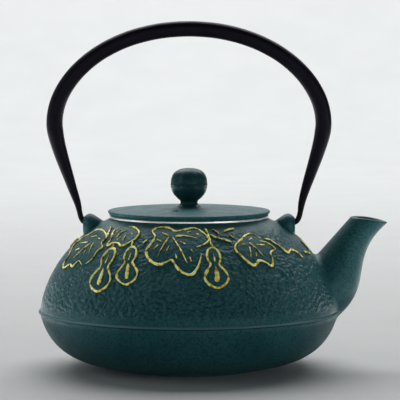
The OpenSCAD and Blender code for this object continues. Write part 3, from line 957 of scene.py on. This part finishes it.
def green_iron(name, pebbled=False, lift=1.15, rough=0.46, shine=0.25):
    """Satin green paint over cast iron: fine casting grain and slow changes of tone and gloss."""
    s = Shader(name)
    deep, pale = (tuple(c * lift for c in colour) for colour in (DEEP_GREEN, PALE_GREEN))
    tone = s.ramp(s.noise(24, detail=4), (0.3, deep), (0.72, pale))
    speck = s.ramp(s.noise(1.2, detail=3), (0.36, 0.6), (0.56, 0.0))
    colour = s.mix(speck, tone, DARK_GREEN_SPECK_AND_SHADE)
    if pebbled:
        # Painted highlight: a pale band along the seam ridge.
        colour = s.mix(s.band(SEAM_Z + 0.05, SEAM_Z + 0.75, 0.25), colour, SEAM_HIGHLIGHT_GREEN)
        # Painted shadow: a dark band just under the seam ridge.
        colour = s.mix(s.band(SEAM_Z - 1.0, SEAM_Z - 0.45, 0.15), colour, DARK_GREEN_SPECK_AND_SHADE)
    s.drive("Base Color", colour)
    s.drive("Roughness", s.ramp(s.noise(9, detail=3), (0.3, rough - 0.06), (0.7, rough + 0.08)))
    s.set(Specular_IOR_Level=shine, Specular_Tint=(0.55, 0.95, 1.0, 1))
    layers = [(s.noise(0.9, detail=1), 0.02), (s.noise(3.0, detail=2), 0.06)]
    if pebbled:
        mask = s.attribute("mask")
        pebbles = s.noise(2.6, detail=1, rough=0.35, stretch=(1, 1, 1.25))
        layers.append((s.math("MULTIPLY", s.ramp(pebbles, (0.34, 0.0), (0.66, 1.0)), mask), 0.75))
    s.bump(*layers)
    return s.material


def gilt_relief():
    """Gold paint rubbed over the crests of the raised lines, worn through to the green in places; the dark
    green flanks are painted shade.
    """
    s = Shader("GiltRelief")
    crest = s.attribute("mask")
    worn = s.noise(2.6, detail=4, rough=0.65)
    reach = s.math("ADD", crest, s.math("MULTIPLY", s.math("SUBTRACT", worn, 0.5), 0.9))
    gold_here = s.ramp(reach, (0.58, 0.0), (0.70, 1.0))
    gold = s.ramp(s.noise(2.6, detail=3), (0.36, (0.34, 0.24, 0.01)), (0.46, (0.86, 0.72, 0.06)),
                  (0.55, (1.0, 0.98, 0.36)))
    # Where no gold lands the relief is dark green; on the flanks this is painted shade.
    s.drive("Base Color", s.mix(gold_here, DARK_GREEN_SPECK_AND_SHADE, gold))
    s.drive("Roughness", s.ramp(gold_here, (0.0, 0.55), (1.0, 0.38)))
    s.drive("Metallic", s.math("MULTIPLY", gold_here, 0.2))
    s.bump((s.noise(0.7, detail=3), 0.1), (s.noise(1.7, detail=2), 0.18))
    return s.material


def black_enamel():
    """Glossy black enamel inside the pot, with a slightly rippled surface."""
    s = Shader("BlackEnamel")
    s.drive("Base Color", s.ramp(s.noise(20, detail=3), (0.3, (0.010, 0.010, 0.011)),
                                 (0.7, (0.018, 0.018, 0.020))))
    s.drive("Roughness", s.ramp(s.noise(8, detail=2), (0.3, 0.16), (0.7, 0.26)))
    s.bump((s.noise(3.5, detail=2), 0.12))
    return s.material


def black_handle():
    """Satin black enamel over a forged bar."""
    s = Shader("BlackHandle")
    s.drive("Base Color", s.ramp(s.noise(14, detail=4), (0.3, (0.0018, 0.0014, 0.0034)),
                                 (0.7, (0.0040, 0.0034, 0.0066))))
    s.drive("Roughness", s.ramp(s.noise(6, detail=3), (0.3, 0.38), (0.7, 0.50)))
    s.set(Specular_IOR_Level=0.13, Specular_Tint=(0.85, 0.82, 1.0, 1))
    s.bump((s.noise(0.7, detail=3), 0.05), (s.noise(6.0, detail=2), 0.25))
    return s.material


def brushed_steel(name, tone):
    """Satin steel with fine rings of brushing round the axis."""
    s = Shader(name)
    brushing = s.noise(0.6, detail=2, stretch=(0.04, 0.04, 1))
    s.drive("Base Color", s.ramp(s.noise(7, detail=3), (0.3, (tone * 1.03, tone * 0.97, tone)),
                                 (0.7, (tone * 1.2, tone * 1.13, tone * 1.15))))
    s.drive("Roughness", s.ramp(brushing, (0.3, 0.24), (0.7, 0.32)))
    s.set(Metallic=0.6)
    s.bump((brushing, 0.005), (s.noise(5, detail=2), 0.03))
    return s.material


def pale_floor():
    s = Shader("PaleFloor")
    s.drive("Base Color", s.ramp(s.noise(60, detail=2), (0.3, (0.47, 0.48, 0.48)),
                                 (0.7, (0.49, 0.50, 0.50))))
    s.set(Roughness=0.65)
    return s.material


# ---- studio ----

FLOOR_BACK = 1.6
BEND = 1.2
HALF_WIDE = 4.0


def add_sheet(name, profile):
    """A pale sheet along a side profile of (y, z) in metres."""
    points = [(x, y, z) for y, z in profile for x in (-HALF_WIDE, HALF_WIDE)]
    faces = [(2 * i, 2 * i + 1, 2 * i + 3, 2 * i + 2) for i in range(len(profile) - 1)]
    mesh = bpy.data.meshes.new(name)
    mesh.from_pydata(points, [], faces)
    mesh.shade_smooth()
    sheet = bpy.data.objects.new(name, mesh)
    bpy.context.scene.collection.objects.link(sheet)
    sheet.data.materials.append(pale_floor())
    return sheet


def make_stage():
    """A floor, and a backdrop that curves up behind it."""
    floor = add_sheet("Floor", [(-4.0, 0.0), (FLOOR_BACK, 0.0)])
    floor.visible_diffuse = False
    turn = [i / 12 * math.pi / 2 for i in range(13)]
    add_sheet("Backdrop", [(FLOOR_BACK + BEND * math.sin(a), BEND - BEND * math.cos(a)) for a in turn]
              + [(FLOOR_BACK + BEND, 4.0)])


def add_light(name, place, target, size, power, colour=(1, 1, 1)):
    """A soft rectangular lamp aimed at a point, in metres."""
    lamp = bpy.data.lights.new(name, "AREA")
    lamp.shape = "RECTANGLE"
    lamp.size, lamp.size_y = size
    lamp.energy = power
    lamp.color = colour
    obj = bpy.data.objects.new(name, lamp)
    obj.location = place
    obj.rotation_euler = (Vector(target) - Vector(place)).to_track_quat("-Z", "Y").to_euler()
    obj.visible_camera = False
    bpy.context.scene.collection.objects.link(obj)


def make_light():
    """A wide soft light overhead and a little behind, low soft lights around, and a dim room."""
    world = bpy.data.worlds.new("Studio")
    world.use_nodes = True
    nodes, links = world.node_tree.nodes, world.node_tree.links
    room = nodes["Background"]
    room.inputs["Color"].default_value = (0.85, 0.95, 1.0, 1)
    room.inputs["Strength"].default_value = 0.07
    pale = nodes.new("ShaderNodeBackground")
    pale.inputs["Color"].default_value = (0.82, 0.84, 0.84, 1)
    pick = nodes.new("ShaderNodeMixShader")
    links.new(nodes.new("ShaderNodeLightPath").outputs["Is Camera Ray"], pick.inputs[0])
    links.new(room.outputs[0], pick.inputs[1])
    links.new(pale.outputs[0], pick.inputs[2])
    links.new(pick.outputs[0], nodes["World Output"].inputs["Surface"])
    bpy.context.scene.world = world
    add_light("Overhead", (0, 1.8, 1.9), (0, 1.8, 0), (3.2, 2.4), 94)
    add_light("SideLeft", (-1.5, -0.1, 0.5), (0, 0, 0.1), (1.2, 1.4), 5)
    add_light("SideRight", (1.2, -1.1, 0.25), (0, 0, 0.06), (1.0, 0.4), 3.6)
    add_light("Front", (0, -2.2, 0.25), (0, 0, 0.05), (2.6, 0.6), 6)
    for name, side, power in (("BounceLeft", -1, 3.8), ("BounceRight", 1, 2.6)):
        add_light(name, (side * 0.42, 0.1, 0.004), (side * 0.42, 0.1, 1), (0.5, 0.9), power)
    bpy.context.scene.view_settings.view_transform = "Standard"


CAMERA_PLACE = (0.00624, -1.5, 0.212)
CAMERA_DOWN = 4.45
LENS = 238.1


def make_camera():
    """The view from in front and a little above: a long lens looking slightly down."""
    camera = bpy.data.cameras.new("Camera")
    camera.lens = LENS
    camera.sensor_width = 36
    camera.clip_end = 20
    obj = bpy.data.objects.new("Camera", camera)
    obj.location = CAMERA_PLACE
    obj.rotation_euler = (math.radians(90 - CAMERA_DOWN), 0, 0)
    bpy.context.scene.collection.objects.link(obj)
    bpy.context.scene.camera = obj


# ---- the whole ----

materials = {
    "green_iron": green_iron("GreenIron", pebbled=True),
    # Painted light: the lid's green is a lighter copy of the pot's paint, standing in for the light its top
    # catches.
    "green_lid": green_iron("GreenLidPaintedLight", lift=1.45, rough=0.46, shine=0.2),
    # Painted shade: the knob's green is a darker copy of the same paint.
    "green_knob": green_iron("GreenKnobPaintedShade", lift=0.5, rough=0.4, shine=0.22),
    "black_enamel": black_enamel(),
    "gilt_relief": gilt_relief(),
    "black_handle": black_handle(),
    # The steel's own pale tone, raised further than the other steel parts as a painted highlight so the
    # rim's thin edge reads bright.
    "infuser_steel": brushed_steel("InfuserSteelPaintedHighlight", 0.76),
    "infuser_mesh": brushed_steel("InfuserMesh", 0.5),
    "screw_steel": brushed_steel("ScrewSteel", 0.45),
}

make_camera()
make_light()
make_stage()
make_pot(materials)
make_lid(materials)
make_knob(materials)
make_handle(materials)
make_infuser(materials)
for name in ("knob_screw", "knob_washer"):
    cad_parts[name].data.materials.clear()
    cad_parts[name].data.materials.append(materials["screw_steel"])
